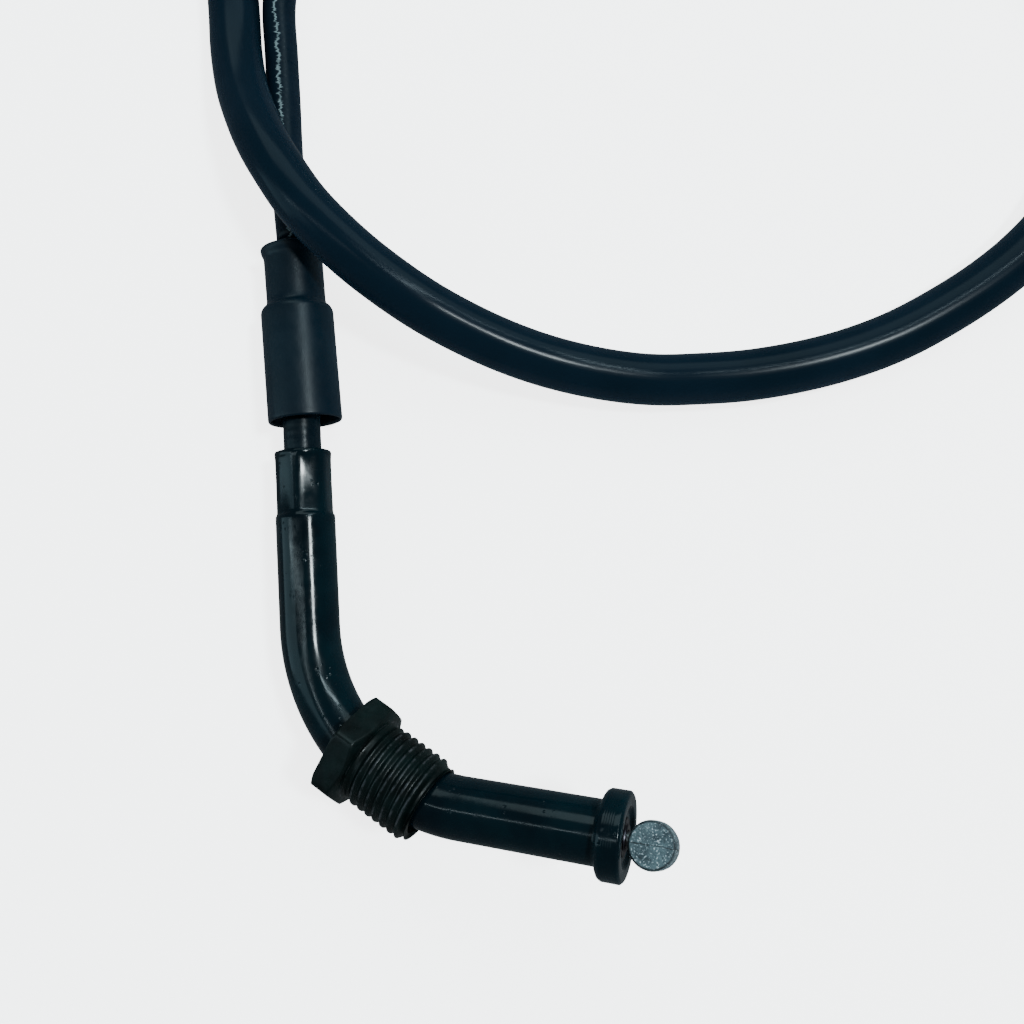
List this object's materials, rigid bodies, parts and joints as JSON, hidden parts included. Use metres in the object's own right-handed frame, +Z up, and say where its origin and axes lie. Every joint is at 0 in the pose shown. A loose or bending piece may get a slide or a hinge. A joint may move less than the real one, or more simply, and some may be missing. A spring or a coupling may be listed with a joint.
{
  "type": "throttle cable",
  "caption": "Motorcycle throttle cable with a bent steel elbow, loose gland nut, rubber boot and barrel nipple, its conduit coiled to a threaded adjuster.",
  "frame": {"origin": "on the surface the cable lies on, under the middle of the elbow, boot and nipple", "axes": "+Y along the straight pipe towards the boot, +X towards the nipple at the end of the arm, +Z up from the surface"},
  "size_m": [0.1418, 0.2211, 0.0253],
  "materials": {
    "black_paint": "gloss black paint over steel, small pits",
    "rubber": "matt blue-black rubber",
    "conduit": "satin black PVC jacket",
    "sleeve": "smooth semi-gloss black PVC sleeve",
    "zinc": "dull die-cast zinc, mottled",
    "wire_steel": "drawn steel strand",
    "nylon": "natural nylon",
    "plated": "zinc-plated steel",
    "tie": "black nylon tie"
  },
  "bodies": {
    "cable": {"elbow_pipe": "black_paint", "elbow_liner": "nylon", "pipe_collar": "black_paint", "wire_guide": "plated", "shrink_tube": "conduit", "conduit_jacket": "conduit", "conduit_armour": "wire_steel", "conduit_liner": "nylon", "bend_wire": "wire_steel", "thin_run": "conduit", "sleeved_run": "sleeve", "sleeve_bands": "sleeve", "tail_run": "conduit", "exit_run": "conduit", "conduit_coil": "conduit", "coil_ties": "tie", "carb_ferrule": "plated", "adjuster_tube": "plated", "adjuster_bush": "nylon", "dust_seal": "rubber"},
    "gland": {"gland_nut": "black_paint"},
    "boot": {"rubber_boot": "rubber"},
    "grip_end": {"grip_wire": "wire_steel", "grip_nipple": "zinc"},
    "rear_lock_nut": {"lock_nut_rear": "plated"},
    "front_lock_nut": {"lock_nut_front": "plated"},
    "carburettor_end": {"carb_wire": "wire_steel", "carb_nipple": "zinc"}
  },
  "joints": [
    {"name": "wire_pull", "type": "slide", "parent": "cable", "child": "grip_end", "axis": [0.9393, -0.15, 0.3084], "range_m": [0, 0.022]},
    {"name": "wire_return", "type": "slide", "parent": "cable", "child": "carburettor_end", "axis": [1, 0, 0], "range_m": [-0.022, 0]},
    {"name": "boot_slide", "type": "slide", "parent": "cable", "child": "boot", "axis": [0, 0.9998, -0.0209], "range_m": [-0.012, 0]},
    {"name": "gland_travel", "type": "hinge", "parent": "cable", "child": "gland", "pos_m": [0.00287, -0.01063, 0.01389], "axis": [-0.309, 0.0199, 0.9508], "range_deg": [-36, 9]},
    {"name": "rear_nut_spin", "type": "hinge", "parent": "cable", "child": "rear_lock_nut", "pos_m": [0.0489, 0.1707, 0.007], "axis": [1, 0, 0], "continuous": true},
    {"name": "front_nut_spin", "type": "hinge", "parent": "cable", "child": "front_lock_nut", "pos_m": [0.0559, 0.1707, 0.007], "axis": [1, 0, 0], "continuous": true}
  ],
  "couplings": [
    {"joint": "wire_return", "follows": "wire_pull", "ratio": -1}
  ]
}
